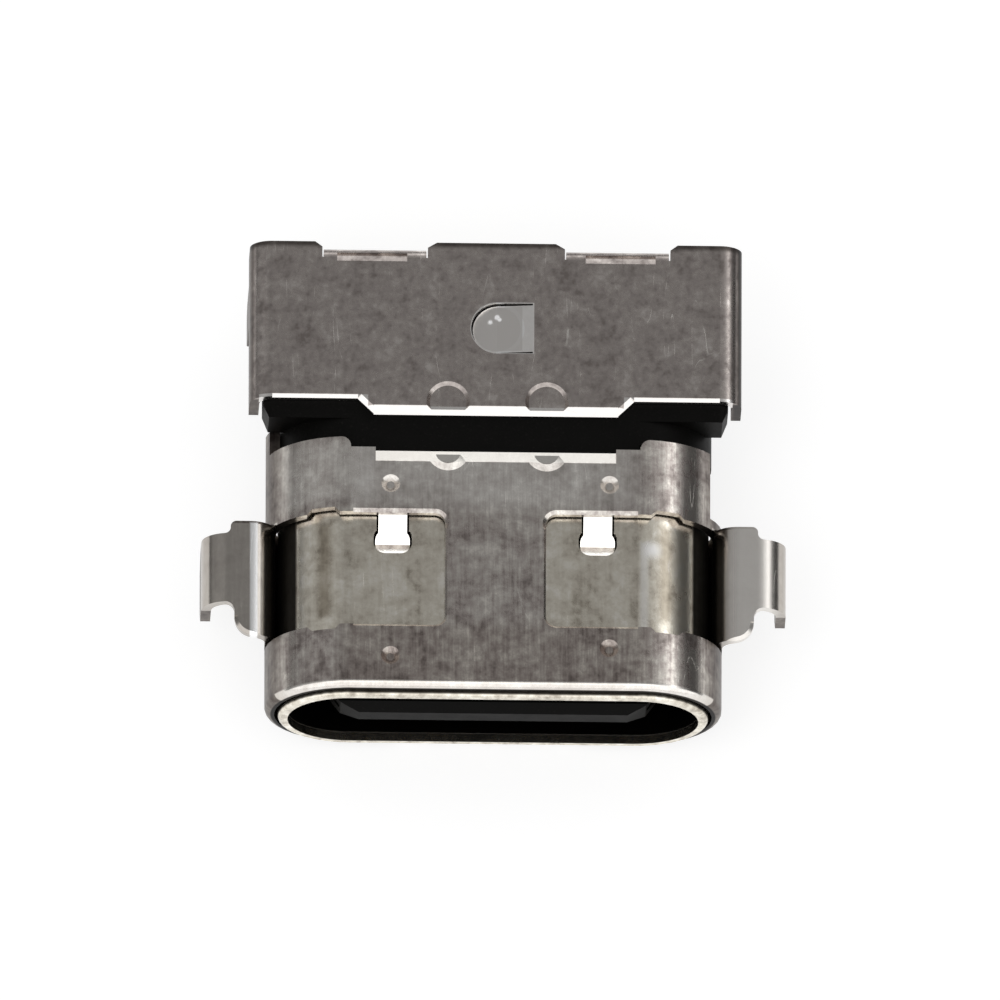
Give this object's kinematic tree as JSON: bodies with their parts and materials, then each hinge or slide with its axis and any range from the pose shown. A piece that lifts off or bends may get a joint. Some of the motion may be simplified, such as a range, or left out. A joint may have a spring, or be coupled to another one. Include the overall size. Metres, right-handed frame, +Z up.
{
  "type": "usb-c socket",
  "caption": "Board-edge receptacle with an oval metal mouth, side ears with solder legs, a folded metal rear cover and a black plastic body around a thin contact tongue.",
  "frame": {"origin": "centre of the oval mouth, on the plane of the inner shell's front rim", "axes": "+X to the right seen from the mouth's side and along the ears, +Y into the socket towards the tails, +Z up, away from the flat underside; the board's top face lies at Z = 0.6 mm"},
  "size_m": [0.0118, 0.0097, 0.0036],
  "materials": {
    "drawn_tube": "drawn, satin",
    "stamped_shell": "stamped, nickel plated, lightly scuffed",
    "stamped_cover": "stamped, nickel plated, lightly scuffed",
    "housing_plastic": "moulded, matte",
    "tongue_plastic": "moulded, matte",
    "latch_steel": "stamped",
    "pad_steel": "stamped",
    "contact_metal": "gold flash over copper alloy"
  },
  "bodies": {
    "root": {"inner_shell": "drawn_tube", "outer_shell": "stamped_shell", "rear_cover": "stamped_cover", "housing": "housing_plastic", "tongue": "tongue_plastic", "latch_plate": "latch_steel", "ground_pad_upper": "pad_steel", "ground_pad_lower": "pad_steel", "contact_a1": "contact_metal", "contact_a2": "contact_metal", "contact_a3": "contact_metal", "contact_a4": "contact_metal", "contact_a5": "contact_metal", "contact_a6": "contact_metal", "contact_a7": "contact_metal", "contact_a8": "contact_metal", "contact_a9": "contact_metal", "contact_a10": "contact_metal", "contact_a11": "contact_metal", "contact_a12": "contact_metal", "contact_b1": "contact_metal", "contact_b2": "contact_metal", "contact_b3": "contact_metal", "contact_b4": "contact_metal", "contact_b5": "contact_metal", "contact_b6": "contact_metal", "contact_b7": "contact_metal", "contact_b8": "contact_metal", "contact_b9": "contact_metal", "contact_b10": "contact_metal", "contact_b11": "contact_metal", "contact_b12": "contact_metal"}
  },
  "joints": []
}
